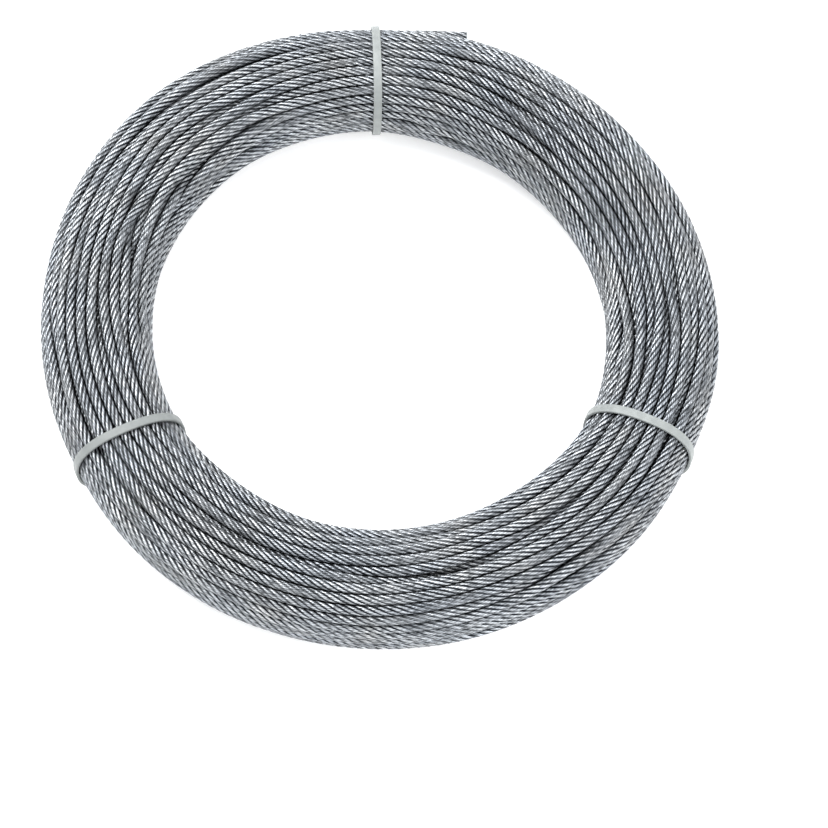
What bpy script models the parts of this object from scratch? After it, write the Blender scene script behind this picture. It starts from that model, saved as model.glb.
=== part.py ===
"""Coil of coated wire rope lying flat, held round its section by three cable ties.

Units are metres and +Z is up. The origin is on the floor, under the coil's centre.
The view side is -Y: the free end of the rope is at the far side, towards +X.
"""

import math

import bmesh
import bpy
from mathutils import Matrix, Vector

OBJECT_NAME = "wire_rope_coil_set"

# Rope
ROPE_DIAMETER = 0.003

# Coil, as it lies flat
COIL_MEAN_RADIUS = 0.0825
SECTION_WIDTH = 0.0312
SECTION_HEIGHT = 0.0318
SECTION_SQUARENESS = 2.4
COIL_STEPS = 48
RIDGE_SHOULDER_ANGLE = math.radians(30)
VALLEY_HEIGHT = 0.0006
OUTLINE_SAMPLES = 2000
NORMAL_TURN = 0.001

# Free outer end of the rope, which straightens past the tie that holds it
FREE_END_LENGTH = 0.029
FREE_END_HEIGHT_ANGLE = math.radians(26)
FREE_END_DIVE = 0.0016
FREE_END_DIVE_LENGTH = 0.012
FREE_END_POINTS = 9

# Cable tie
TIE_WIDTH = 0.0025
TIE_THICKNESS = 0.001
TIE_GAP = 0.00015
TIE_FOOT_LENGTH = 0.006
TIE_OUTLINE_POINTS = 48
HEAD_LENGTH = 0.005
HEAD_WIDTH = 0.0046
HEAD_HEIGHT = 0.0033
HEAD_BEVEL = 0.0004
HEAD_BEVEL_SEGMENTS = 2
TAIL_STUB_HEIGHT = 0.0012
TAIL_STUB_THICKNESS = 0.001
TAIL_STUB_WIDTH = 0.0021
TAIL_STUB_OFFSET = 0.0008

# Name, place round the coil, skew from the radius there, and place of the head round the section
TIES = (
    ("cable_tie_far", math.radians(90.7), math.radians(1.2), math.radians(-50)),
    ("cable_tie_left", math.radians(209.7), math.radians(-4.8), math.radians(218)),
    ("cable_tie_right", math.radians(333.2), math.radians(4.3), math.radians(218)),
)
FREE_END_TIE_AZIMUTH = TIES[0][1]

# Placed sizes
ROPE_RADIUS = ROPE_DIAMETER / 2
COIL_CENTRE_HEIGHT = SECTION_HEIGHT / 2 + TIE_GAP + TIE_THICKNESS

# Colours and finish
ROPE_COLOUR = (0.42, 0.44, 0.46, 1)
ROPE_ROUGHNESS = 0.35
ROPE_METALLIC = 0.8
TIE_COLOUR = (0.62, 0.66, 0.64, 1)
TIE_ROUGHNESS = 0.45
TIE_METALLIC = 0


def clear_scene():
    for old in list(bpy.data.objects):
        bpy.data.objects.remove(old, do_unlink=True)


def make_collection(name):
    collection = bpy.data.collections.new(name)
    bpy.context.scene.collection.children.link(collection)
    return collection


def make_material(name, colour, roughness, metallic):
    material = bpy.data.materials.new(name)
    material.use_nodes = True
    shader = material.node_tree.nodes["Principled BSDF"]
    shader.inputs["Base Color"].default_value = colour
    shader.inputs["Roughness"].default_value = roughness
    shader.inputs["Metallic"].default_value = metallic
    return material


def section_point(angle, grow):
    """A point of the coil's rounded section, seen along the rope, grown outwards by grow."""
    half_width = SECTION_WIDTH / 2 + grow
    half_height = SECTION_HEIGHT / 2 + grow
    power = 2 / SECTION_SQUARENESS
    cosine = math.cos(angle)
    sine = math.sin(angle)
    across = math.copysign(half_width * abs(cosine) ** power, cosine)
    up = math.copysign(half_height * abs(sine) ** power, sine)
    return Vector((across, up))


def section_normal(angle, grow):
    ahead = section_point(angle + NORMAL_TURN, grow)
    behind = section_point(angle - NORMAL_TURN, grow)
    along = (ahead - behind).normalized()
    return Vector((along.y, -along.x))


def even_section_angles(count, grow):
    """Angles of count points that are evenly spaced along the section's outline."""
    angles = [math.tau * index / OUTLINE_SAMPLES for index in range(OUTLINE_SAMPLES + 1)]
    lengths = [0.0]
    for index in range(OUTLINE_SAMPLES):
        step = section_point(angles[index + 1], grow) - section_point(angles[index], grow)
        lengths.append(lengths[-1] + step.length)
    wanted_angles = []
    sample = 0
    for index in range(count):
        wanted = lengths[-1] * index / count
        while lengths[sample + 1] < wanted:
            sample += 1
        share = (wanted - lengths[sample]) / (lengths[sample + 1] - lengths[sample])
        wanted_angles.append(angles[sample] + share * (angles[sample + 1] - angles[sample]))
    return wanted_angles, lengths[-1]


def coil_profile():
    """The section's outline with one ridge for each turn that shows, clockwise."""
    _, outline_length = even_section_angles(1, -ROPE_RADIUS)
    turns_round = round(outline_length / ROPE_DIAMETER)
    angles, _ = even_section_angles(turns_round, -ROPE_RADIUS)
    half_pitch = outline_length / turns_round / 2
    shoulder_across = ROPE_RADIUS * math.sin(RIDGE_SHOULDER_ANGLE)
    shoulder_up = ROPE_RADIUS * math.cos(RIDGE_SHOULDER_ANGLE)
    points = []
    for angle in reversed(angles):
        centre = section_point(angle, -ROPE_RADIUS)
        outward = section_normal(angle, -ROPE_RADIUS)
        clockwise = Vector((outward.y, -outward.x))
        points.append(centre - clockwise * half_pitch + outward * VALLEY_HEIGHT)
        points.append(centre - clockwise * shoulder_across + outward * shoulder_up)
        points.append(centre + clockwise * shoulder_across + outward * shoulder_up)
    return points


def build_rope_coil(parts, material):
    """The wound rope, as one turned solid with its bore."""
    mesh = bpy.data.meshes.new("rope_coil")
    shape = bmesh.new()
    vertices = []
    for point in coil_profile():
        vertices.append(shape.verts.new((COIL_MEAN_RADIUS + point.x, 0, COIL_CENTRE_HEIGHT + point.y)))
    for index, vertex in enumerate(vertices):
        shape.edges.new((vertex, vertices[(index + 1) % len(vertices)]))
    shape.to_mesh(mesh)
    shape.free()
    coil = bpy.data.objects.new("rope_coil", mesh)
    parts.objects.link(coil)
    mesh.materials.append(material)
    screw = coil.modifiers.new("turn", "SCREW")
    screw.axis = "Z"
    screw.angle = math.tau
    screw.steps = COIL_STEPS
    screw.render_steps = COIL_STEPS
    screw.use_merge_vertices = True
    screw.merge_threshold = 0.00001
    screw.use_smooth_shade = True
    return coil


def free_end_points():
    """Centres along the loose end: it rises out of the coil, passes the tie and runs straight."""
    seat = section_point(FREE_END_HEIGHT_ANGLE, -ROPE_RADIUS)
    radius = COIL_MEAN_RADIUS + seat.x
    height = COIL_CENTRE_HEIGHT + seat.y
    points = []
    for index in range(FREE_END_POINTS):
        share = index / (FREE_END_POINTS - 1)
        back = FREE_END_DIVE_LENGTH * (1 - share)
        depth = FREE_END_DIVE * (1 - share) ** 2
        azimuth = FREE_END_TIE_AZIMUTH + back / radius
        away = radius - depth
        points.append(Vector((away * math.cos(azimuth), away * math.sin(azimuth), height)))
    straight = Vector((math.sin(FREE_END_TIE_AZIMUTH), -math.cos(FREE_END_TIE_AZIMUTH), 0))
    points.append(points[-1] + straight * FREE_END_LENGTH)
    return points


def mesh_from_curve(curve_object):
    """A closed mesh of a curve object, in the curve's place. The curve is removed."""
    depsgraph = bpy.context.evaluated_depsgraph_get()
    evaluated = curve_object.evaluated_get(depsgraph)
    mesh = bpy.data.meshes.new_from_object(evaluated)
    shape = bmesh.new()
    shape.from_mesh(mesh)
    bmesh.ops.remove_doubles(shape, verts=shape.verts, dist=0.000001)
    bmesh.ops.recalc_face_normals(shape, faces=shape.faces)
    shape.to_mesh(mesh)
    shape.free()
    name = curve_object.name
    place = curve_object.matrix_world.copy()
    bpy.data.objects.remove(curve_object, do_unlink=True)
    result = bpy.data.objects.new(name, mesh)
    result.matrix_world = place
    return result


def join_by_boolean(base, addition, cutters):
    cutters.objects.link(addition)
    addition.hide_render = True
    addition.display_type = "WIRE"
    union = base.modifiers.new("join_" + addition.name, "BOOLEAN")
    union.operation = "UNION"
    union.solver = "EXACT"
    union.object = addition


def build_free_end(coil, cutters):
    """The loose outer end of the same rope, joined to the coil."""
    curve = bpy.data.curves.new("free_end", "CURVE")
    curve.dimensions = "3D"
    curve.bevel_depth = ROPE_RADIUS
    curve.bevel_resolution = 2
    curve.use_fill_caps = True
    spline = curve.splines.new("POLY")
    points = free_end_points()
    spline.points.add(len(points) - 1)
    for index, point in enumerate(points):
        spline.points[index].co = (point.x, point.y, point.z, 1)
    holder = bpy.data.objects.new("free_end", curve)
    cutters.objects.link(holder)
    bpy.context.view_layer.update()
    join_by_boolean(coil, mesh_from_curve(holder), cutters)


def tie_outline(grow):
    """The strap's outline round the section, flat under the coil where it rests on the floor."""
    foot_half = TIE_FOOT_LENGTH / 2
    half_width = SECTION_WIDTH / 2 + grow
    foot_angle = math.acos((foot_half / half_width) ** (SECTION_SQUARENESS / 2))
    start = -foot_angle
    sweep = 2 * (math.pi / 2 + foot_angle)
    points = []
    for index in range(TIE_OUTLINE_POINTS):
        angle = start + sweep * index / (TIE_OUTLINE_POINTS - 1)
        points.append(section_point(angle, grow))
    bottom = -(SECTION_HEIGHT / 2 + grow)
    points[0].y = bottom
    points[-1].y = bottom
    return points


def add_closed_outline(curve, points):
    spline = curve.splines.new("POLY")
    spline.points.add(len(points) - 1)
    for index, point in enumerate(points):
        spline.points[index].co = (point.x, point.y, 0, 1)
    spline.use_cyclic_u = True


def make_box(name, size, centre, turn, bevel):
    mesh = bpy.data.meshes.new(name)
    shape = bmesh.new()
    bmesh.ops.create_cube(shape, size=1)
    bmesh.ops.scale(shape, vec=size, verts=shape.verts)
    if bevel > 0:
        bmesh.ops.bevel(
            shape,
            geom=list(shape.edges),
            offset=bevel,
            segments=HEAD_BEVEL_SEGMENTS,
            affect="EDGES",
            profile=0.5,
        )
    shape.to_mesh(mesh)
    shape.free()
    box = bpy.data.objects.new(name, mesh)
    box.matrix_world = Matrix.Translation(centre) @ Matrix.Rotation(turn, 4, "Z")
    return box


def tie_place(azimuth, skew):
    """From the tie's drawing plane (X outwards, Y up) to its place round the coil."""
    outwards = Vector((math.cos(azimuth), math.sin(azimuth), 0))
    centre = outwards * COIL_MEAN_RADIUS + Vector((0, 0, COIL_CENTRE_HEIGHT))
    turn = Matrix.Rotation(azimuth + skew, 4, "Z") @ Matrix.Rotation(math.pi / 2, 4, "X")
    return Matrix.Translation(centre) @ turn


def build_tie(name, azimuth, skew, head_angle, parts, cutters, material):
    """One cable tie: a strap round the coil's section, its head, and the cut tail."""
    curve = bpy.data.curves.new(name, "CURVE")
    curve.dimensions = "2D"
    curve.fill_mode = "BOTH"
    curve.extrude = TIE_WIDTH / 2
    add_closed_outline(curve, tie_outline(TIE_GAP + TIE_THICKNESS))
    add_closed_outline(curve, tie_outline(TIE_GAP))
    holder = bpy.data.objects.new(name, curve)
    cutters.objects.link(holder)
    bpy.context.view_layer.update()
    tie = mesh_from_curve(holder)
    tie.name = name
    parts.objects.link(tie)
    tie.data.materials.clear()
    tie.data.materials.append(material)
    place = tie_place(azimuth, skew)
    tie.matrix_world = place

    outward = section_normal(head_angle, TIE_GAP)
    turn = math.atan2(outward.y, outward.x) - math.pi / 2
    along = Vector((-outward.y, outward.x))
    seat = section_point(head_angle, TIE_GAP)
    head_centre = seat + outward * (HEAD_HEIGHT / 2 + TIE_GAP)
    head_size = (HEAD_LENGTH, HEAD_HEIGHT, HEAD_WIDTH)
    head = make_box(name + "_head", head_size, head_centre.to_3d(), turn, HEAD_BEVEL)
    head.matrix_world = place @ head.matrix_world
    join_by_boolean(tie, head, cutters)

    stub_centre = head_centre + outward * (HEAD_HEIGHT / 2) + along * TAIL_STUB_OFFSET
    stub_size = (TAIL_STUB_THICKNESS, 2 * TAIL_STUB_HEIGHT, TAIL_STUB_WIDTH)
    stub = make_box(name + "_tail", stub_size, stub_centre.to_3d(), turn, 0)
    stub.matrix_world = place @ stub.matrix_world
    join_by_boolean(tie, stub, cutters)
    return tie


def build_model():
    clear_scene()
    parts = make_collection(OBJECT_NAME)
    cutters = make_collection("cutters")
    rope_material = make_material("coated_wire_rope", ROPE_COLOUR, ROPE_ROUGHNESS, ROPE_METALLIC)
    tie_material = make_material("natural_nylon", TIE_COLOUR, TIE_ROUGHNESS, TIE_METALLIC)
    coil = build_rope_coil(parts, rope_material)
    build_free_end(coil, cutters)
    for name, azimuth, skew, head_angle in TIES:
        build_tie(name, azimuth, skew, head_angle, parts, cutters, tie_material)


build_model()
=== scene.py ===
"""Looks of the coil of coated wire rope: the wound rope, its strands, the ties, the light and the camera.

Units are metres and +Z is up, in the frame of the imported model. The rope is wound by a small
simulation of its own: every turn is a chain that crosses a fan of upright planes, the turns push each
other apart by one rope diameter, the rope's stiffness smooths them, and the ties hold them together.
"""

import math
from collections import namedtuple

import bmesh
import bpy
import numpy as np
from mathutils import Matrix, Vector


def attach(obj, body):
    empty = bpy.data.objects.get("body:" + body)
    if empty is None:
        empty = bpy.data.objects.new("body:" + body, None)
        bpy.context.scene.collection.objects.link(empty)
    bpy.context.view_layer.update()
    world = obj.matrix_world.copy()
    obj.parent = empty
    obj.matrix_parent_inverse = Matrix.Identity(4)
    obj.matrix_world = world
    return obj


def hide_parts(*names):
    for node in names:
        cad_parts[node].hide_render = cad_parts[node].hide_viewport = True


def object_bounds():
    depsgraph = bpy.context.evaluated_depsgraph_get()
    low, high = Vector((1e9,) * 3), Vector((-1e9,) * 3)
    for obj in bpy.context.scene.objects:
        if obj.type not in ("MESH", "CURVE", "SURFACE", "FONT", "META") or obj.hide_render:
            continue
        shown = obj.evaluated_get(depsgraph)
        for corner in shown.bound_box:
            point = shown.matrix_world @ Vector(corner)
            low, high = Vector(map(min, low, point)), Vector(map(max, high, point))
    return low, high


MILLIMETRE = 0.001
WHITE = (1.0, 1.0, 1.0)

# Rope
ROPE_DIAMETER = 0.003
ROPE_RADIUS = ROPE_DIAMETER / 2
ROPE_TURNS = 96.5
STRANDS = 6
LAY_LENGTH = 0.0165

# Coil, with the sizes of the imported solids
COIL_MEAN_RADIUS = 0.0825
SECTION_WIDTH = 0.0312
SECTION_HEIGHT = 0.0318
SECTION_SQUARENESS = 2.4
OUT_OF_ROUND = 0.0026
# Place round the coil, skew from the radius there and place of the head round the section, then how far
# the strap leans sideways for its height, how far it presses the coil in, and how light its nylon is,
# which for the left tie also holds painted shade against the stronger light on it
Tie = namedtuple("Tie", "node azimuth skew head_angle lean squeeze tone")
TIES = (
    Tie("cable_tie_far", math.radians(90.7), math.radians(1.2), math.radians(-50), 0.028, 0.0007, 0.9),
    Tie("cable_tie_left", math.radians(209.7), math.radians(-4.8), math.radians(218), 0.0, 0.0001, 0.7),
    Tie("cable_tie_right", math.radians(333.2), math.radians(4.3), math.radians(218), -0.028, 0.0003, 0.9),
)
FAR_TIE = TIES[0].azimuth
# Where the hand-wound coil isn't even: place round it and reach in degrees, then how far its section
# stands outwards and how much wider half of it is, in millimetres
Hump = namedtuple("Hump", "place reach outward wider")
HUMPS = (
    Hump(27, 22, -0.2, 0.4),
    Hump(60, 14, 0.3, -0.3),
    Hump(110, 17, -0.9, -0.9),
    Hump(142, 20, -0.25, 0.35),
    Hump(213, 20, -0.4, 0.35),
    Hump(234, 14, -0.25, 0.4),
    Hump(285, 24, 0.35, 0.35),
    Hump(322, 22, 0.75, 0.1),
    Hump(350, 14, 0.4, 0.35),
)

# Free outer end
FREE_END_LENGTH = 0.0278
FREE_END_BEND_RADIUS = 0.34
FREE_END_HEIGHT_ANGLE = math.radians(26)

# Winding simulation
PLANES = 120
PLANE_ANGLE = math.tau / PLANES
WINDING_SEED = 7
WINDING_STEPS = 320
OUTLINE_POINTS = 720
TURN_PITCH = 0.00306
LAYER_PITCH = 0.0027
WANDER = 0.003
WANDER_SPACING = 40
SLACK_BETWEEN_TIES = 0.0005
TIE_REACH = math.radians(13)
BEND_STIFFNESS = 0.06
STRAIGHTENING = 0.15
# How often a step pushes overlapping turns apart, and the share of their overlap that each gives way
PUSH_ROUNDS = 2
PUSH_SHARE = 0.27
# Share of the way that a turn outside the section's outline comes back in a step
RETURN_SHARE = 0.6
# Added to every distance, so that none is nothing
NO_DISTANCE = 1e-9
# How far before the last slot a place between two slots may lie
LAST_SLOT_MARGIN = 1.001
# A place that no turn comes near
FAR_AWAY = 9.0
# Points along the rope's route from one plane to the next
ROUTE_STEPS = 3

# Turns that show: directions tried round the section, and how wide a turn is as an obstacle
VIEW_DIRECTIONS = 36
BLOCKING_SHARE = 0.97
# Planes in the window that lengthens each stretch that shows, and rings in the longest one left out
RUN_WINDOW = 5
SHORTEST_RUN = 6

# Rope meshes
STRAND_STEP = 0.00141
# Radius of the rope at a strand's edge, shoulder, crest and other shoulder, as shares of the rope's radius
LOBE_PROFILE = (0.93, 0.98, 1.0, 0.98)
# The plain tube is thinner where turns with strands cover it
CORE_SHARE = 0.86
CORE_SIDES = 8
ROPE_PIECES = 14
# How many of the nearest turns can darken a place on the rope
NEAR_TURNS = 7
# Share of a strip on the baking map that the tube fills, across and along
STRIP_FILL = 0.94
STRIP_LENGTH_FILL = 0.999

# Cut face of the rope's loose end
WIRE_ROPE_RADIUS = 0.001
WIRES = 7
WIRE_SIDES = 10
WIRE_FILL = 0.94
WIRE_STAND = 0.00004
WIRE_RING_CENTRE = (0.00002, 0)
COAT_BORE_SHARE = 1.02
COAT_STEPS = 48
END_FACE_DEPTH = 0.0003

# Cable tie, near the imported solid's sizes: its strap is thinner and closer, its head rounder and slotted
TIE_WIDTH = 0.0025
TIE_THICKNESS = 0.0009
TIE_GAP = 0.0001
TIE_FOOT_LENGTH = 0.006
TIE_STEPS = 168
TIE_LINE_POINTS = 2000
TIE_EDGE_RADIUS = 0.00026
TIE_EDGE_STEPS = 4
TIE_SHARP_ANGLE = math.radians(38)
HEAD_LENGTH = 0.005
HEAD_WIDTH = 0.0046
HEAD_HEIGHT = 0.0033
HEAD_BEVEL = 0.0006
HEAD_BEVEL_STEPS = 4
HEAD_SEAT_ANGLE = 0.001
SLOT_LENGTH = 0.0017
SLOT_WIDTH = 0.0027
SLOT_DEPTH = 0.0014
TAIL_STUB_HEIGHT = 0.0012
TAIL_STUB_THICKNESS = 0.001
TAIL_STUB_WIDTH = 0.0021
TAIL_STUB_OFFSET = 0.0008
TAIL_TOOTH_PITCH = 0.0003
TAIL_TOOTH_DEPTH = 0.00014
TAIL_TOOTH_RISE = 0.15
TAIL_CUT_SLANT = 0.0004
COIL_CENTRE_HEIGHT = TIE_GAP + TIE_THICKNESS + SECTION_HEIGHT / 2

# Rope surface: the strands' wires, and how high strands, wires and specks stand
WIRES_ACROSS = 2.55
WIRES_PER_METRE = 1211
WIRE_PHASE_STEP = 0.37
STRAND_RELIEF = 0.00033
WIRE_RELIEF = 0.00007
SPECK_RELIEF = 0.00012
ROPE_BUMP = 0.9
# Colour across a strand: painted shade in the grooves between the strands, the steel's own tone on their
# crests
STRAND_TONES_WITH_GROOVE_SHADE = (
    (0.0, (0.008, 0.009, 0.013)),
    (0.4, (0.041, 0.046, 0.057)),
    (0.64, (0.56, 0.58, 0.6)),
    (0.9, (0.785, 0.805, 0.82)),
)
# Painted shade in the grooves between the wires of a strand, none on their crests
WIRE_GROOVE_SHADE_TONES = ((0.0, (0.16, 0.16, 0.17)), (0.55, (0.86, 0.86, 0.86)), (1.0, WHITE))
# Stretches where a painted sheen, the clear coat's reflection, veils the strands in grey. Here and below, a
# noise is given by its scale and detail
COAT_SHEEN_TONE = (0.4, 0.41, 0.42)
COAT_SHEEN_SHARES = ((0.44, (0.0, 0.0, 0.0)), (0.68, (0.75, 0.75, 0.75)))
COAT_SHEEN_NOISE = (34, 2)
# Tones that differ from strand to strand and from turn to turn
SPREAD_TONES = ((0.38, (0.6, 0.61, 0.62)), (0.55, WHITE))
SPREAD_ALONG = 75
SPREAD_AROUND = 3.7
SPREAD_NOISE = (1, 2)
TURN_TONES = ((0.35, (0.82, 0.83, 0.85)), (0.6, WHITE))
TURN_NOISE = (5.3, 1)
TINTS = ((0.32, (0.94, 0.968, 1.0)), (0.52, (0.975, 0.99, 1.0)), (0.7, (1.0, 0.992, 0.975)))
TINT_NOISE = (70, 3)
# Short specks in the coat
SPECK_TONES = ((0.38, (0.3, 0.305, 0.31)), (0.52, (0.95, 0.95, 0.95)), (0.6, WHITE))
SPECKS_PER_METRE = 450
SPECKS_AROUND = 18
SPECK_NOISE = (1, 2)
# Painted shade between the turns: gap to the next turn where the painted shade is darkest and where it ends
CREVICE_DARK = 0.00009
CREVICE_CLEAR = 0.00062
CREVICE_PAINTED_SHADE_TONES = ((0.0, (0.002, 0.003, 0.005)), (1.0, WHITE))
# In places the clear coats touch and hide the dark line between two turns, so the painted shade there is
# faint
FAINT_CREVICE_PAINTED_SHADE = ((0.5, (0.0, 0.0, 0.0)), (0.6, (0.75, 0.75, 0.75)))
FAINT_CREVICE_NOISE = (42, 1)
ROPE_SHADER = {
    "Metallic": 0.75,
    "Roughness": 0.33,
    "Specular IOR Level": 0.1,
    "Coat Weight": 0.07,
    "Coat Roughness": 0.14,
}

# Other surfaces: their tones, the noise between the tones, and the shader's values
Surface = namedtuple("Surface", "name tones noise shader")
# The plain tube under the turns is near black: painted shade, as it shows only deep between the turns
CORE = Surface(
    name="coated_wire_rope_inside_painted_shade",
    tones=((0.3, (0.008, 0.009, 0.012)), (0.7, (0.03, 0.033, 0.038))),
    noise=(260, 3),
    shader={"Metallic": 0.6, "Roughness": 0.6, "Specular IOR Level": 0.1},
)
CUT_WIRE = Surface(
    name="cut_wire_ends",
    tones=((0.35, (0.3, 0.31, 0.33)), (0.65, (0.62, 0.63, 0.65))),
    noise=(5200, 1),
    shader={"Metallic": 0.9, "Roughness": 0.4},
)
COAT_EDGE = Surface(
    name="clear_coat_edge",
    tones=((0.3, (0.32, 0.35, 0.36)), (0.7, (0.48, 0.51, 0.51))),
    noise=(900, 2),
    shader={"Roughness": 0.35},
)
NYLON = Surface(
    name="natural_nylon",
    tones=((0.3, (0.27, 0.288, 0.285)), (0.7, (0.325, 0.346, 0.339))),
    noise=(420, 3),
    shader={
        "Roughness": 0.5,
        "Specular IOR Level": 0.35,
        "Subsurface Weight": 0.2,
        "Subsurface Radius": (0.0012, 0.0012, 0.001),
        "Subsurface Scale": 1.0,
    },
)
NYLON_GRAIN_NOISE = (5200, 2)
NYLON_GRAIN_HEIGHT = 0.00004
NYLON_BUMP = 0.25

# Studio: the floor is a light table that glows a little, so that shadows on it stay faint
FLOOR_HALF_SIZE = 3
FLOOR_DROP = 0.0001
FLOOR_SHADER = {
    "Base Color": (0.9, 0.9, 0.9, 1),
    "Roughness": 0.9,
    "Emission Color": (1, 1, 1, 1),
    "Emission Strength": 0.42,
}
WORLD_COLOUR = (0.965, 0.98, 1.0, 1)
WORLD_STRENGTH = 1.05
Light = namedtuple("Light", "name place size power")
LIGHTS = (
    Light("key", (-0.5, 0.4, 1.3), 0.8, 23),
    Light("fill", (0.9, -0.6, 0.9), 0.8, 9),
)

# Camera, from the photograph: the coil's centre shows at this pixel of the 828 x 828 frame
PHOTO_SIZE = 828
COIL_CENTRE_PIXEL = (379.1, 322.3)
FOCAL_PIXELS = 2486
CAMERA_ELEVATION = math.radians(64.44)
CAMERA_DISTANCE = 0.7285
SENSOR_WIDTH = 36

# Sockets of the node that mixes two colours
MIX_SHARE, MIX_FIRST, MIX_SECOND, MIX_RESULT = 0, 6, 7, 2

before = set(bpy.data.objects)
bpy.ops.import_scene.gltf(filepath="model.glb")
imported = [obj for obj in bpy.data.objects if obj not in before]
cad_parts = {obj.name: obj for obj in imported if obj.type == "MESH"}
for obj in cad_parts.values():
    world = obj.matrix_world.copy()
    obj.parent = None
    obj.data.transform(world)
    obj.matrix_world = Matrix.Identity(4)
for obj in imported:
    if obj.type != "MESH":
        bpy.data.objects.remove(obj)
cad_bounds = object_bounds()


def angle_apart(one, other):
    """How far apart two directions are, from 0 to half a turn."""
    return np.abs((one - other + math.pi) % math.tau - math.pi)


def running_length(points):
    """The length along a line of points up to each of them."""
    return np.concatenate([[0], np.cumsum(np.linalg.norm(np.diff(points, axis=0), axis=1))])


def rounded_outline(half_width, half_height, count):
    """Points round a superellipse, the coil's rounded section."""
    angle = np.arange(count) * math.tau / count
    cosine = np.cos(angle)
    sine = np.sin(angle)
    power = 2 / SECTION_SQUARENESS
    across = half_width * np.sign(cosine) * np.abs(cosine) ** power
    up = half_height * np.sign(sine) * np.abs(sine) ** power
    return np.stack([across, up], 1)


def free_end_seat():
    """Place of the loose end's centre in the coil's section, where the far tie holds it."""
    power = 2 / SECTION_SQUARENESS
    half_width = SECTION_WIDTH / 2 - ROPE_RADIUS - TIES[0].squeeze + widening(FAR_TIE)
    half_height = SECTION_HEIGHT / 2 - ROPE_RADIUS - TIES[0].squeeze
    across = half_width * math.cos(FREE_END_HEIGHT_ANGLE) ** power
    up = half_height * math.sin(FREE_END_HEIGHT_ANGLE) ** power
    return across, up


def sum_of_humps(azimuth, sizes):
    """A soft hump at each uneven place round the coil, with the sizes given in millimetres."""
    total = azimuth * 0.0
    for hump, size in zip(HUMPS, sizes):
        apart = angle_apart(azimuth, math.radians(hump.place))
        total += size * MILLIMETRE * np.exp(-((apart / math.radians(hump.reach)) ** 2))
    return total


def out_of_round(azimuth):
    """How far the middle of the coil's section stands out of a true circle."""
    window = ((1 + np.sin(azimuth)) / 2) ** 2
    outward = sum_of_humps(azimuth, [hump.outward for hump in HUMPS])
    return OUT_OF_ROUND * np.sin(2 * (azimuth - FAR_TIE)) * window + outward


def widening(azimuth):
    """How much wider half of the coil's section is than the even one."""
    return sum_of_humps(azimuth, [hump.wider for hump in HUMPS])


def tie_hold(azimuth):
    """How much a tie's hold is felt round the coil, 1 at a tie, and how far it presses the coil in."""
    hold = azimuth * 0.0
    squeeze = azimuth * 0.0
    for tie in TIES:
        near = np.exp(-((angle_apart(azimuth, tie.azimuth) / TIE_REACH) ** 2))
        hold = np.maximum(hold, near)
        squeeze = squeeze + tie.squeeze * near
    return hold, squeeze


def layered_slots(turns):
    """Places in the section for the turns, from the outermost layer inwards, each layer in order."""
    slots = []
    inset = 0.0
    start = FREE_END_HEIGHT_ANGLE
    while len(slots) < turns + 2:
        half_width = SECTION_WIDTH / 2 - ROPE_RADIUS - inset
        half_height = SECTION_HEIGHT / 2 - ROPE_RADIUS - inset
        if min(half_width, half_height) < ROPE_RADIUS / 2:
            slots.append((0.0, 0.0))
            break
        points = rounded_outline(half_width, half_height, OUTLINE_POINTS)
        closed = np.vstack([points, points[:1]])
        lengths = running_length(closed)
        count = max(1, int(lengths[-1] / TURN_PITCH))
        apart = angle_apart(np.arctan2(points[:, 1], points[:, 0]), start)
        wanted = (lengths[np.argmin(apart)] + np.arange(count) * lengths[-1] / count) % lengths[-1]
        across = np.interp(wanted, lengths, closed[:, 0])
        up = np.interp(wanted, lengths, closed[:, 1])
        slots += list(zip(across, up))
        start = math.atan2(up[-1], across[-1])
        inset += LAYER_PITCH
    return np.array(slots)


def smooth_noise(count, spacing, rng):
    """A smooth random walk of count points in the section: a cubic B-spline of random values."""
    control = rng.normal(size=(count // spacing + 4, 2))
    place = np.arange(count) / spacing
    index = np.floor(place).astype(int)
    share = (place - index)[:, None]
    return (
        control[index] * (1 - share) ** 3
        + control[index + 1] * (3 * share**3 - 6 * share**2 + 4)
        + control[index + 2] * (-3 * share**3 + 3 * share**2 + 3 * share + 1)
        + control[index + 3] * share**3
    ) / 6


def starting_places(rows):
    """Every turn at its place in the layers, one row of planes a turn, with a slow wander."""
    rng = np.random.default_rng(WINDING_SEED)
    index = np.arange(rows * PLANES)
    slots = layered_slots(rows)
    slot = np.clip((index - PLANES) / PLANES, 0, len(slots) - LAST_SLOT_MARGIN)
    lower = np.floor(slot).astype(int)
    share = (slot - lower)[:, None]
    places = slots[lower] * (1 - share) + slots[lower + 1] * share
    places += smooth_noise(len(index), WANDER_SPACING, rng) * WANDER
    return places.reshape(rows, PLANES, 2)


def held_end(rows, first):
    """Which crossings the loose end's own line and the far tie fix, and where those lie."""
    held = np.zeros((rows, PLANES), bool)
    held_places = np.zeros((rows, PLANES, 2))
    seat_across, seat_up = free_end_seat()
    seat_radius = COIL_MEAN_RADIUS + seat_across
    for place in range(first, PLANES + 1):
        row, column = divmod(place, PLANES)
        turn = (PLANES - place) * PLANE_ANGLE
        away = seat_radius * turn
        lift = away**2 / 2 * (1 / seat_radius - 1 / FREE_END_BEND_RADIUS)
        shift = out_of_round(FAR_TIE - turn) - out_of_round(FAR_TIE)
        held[row, column] = True
        held_places[row, column] = (seat_across + lift - shift, seat_up)
    return held, held_places


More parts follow.
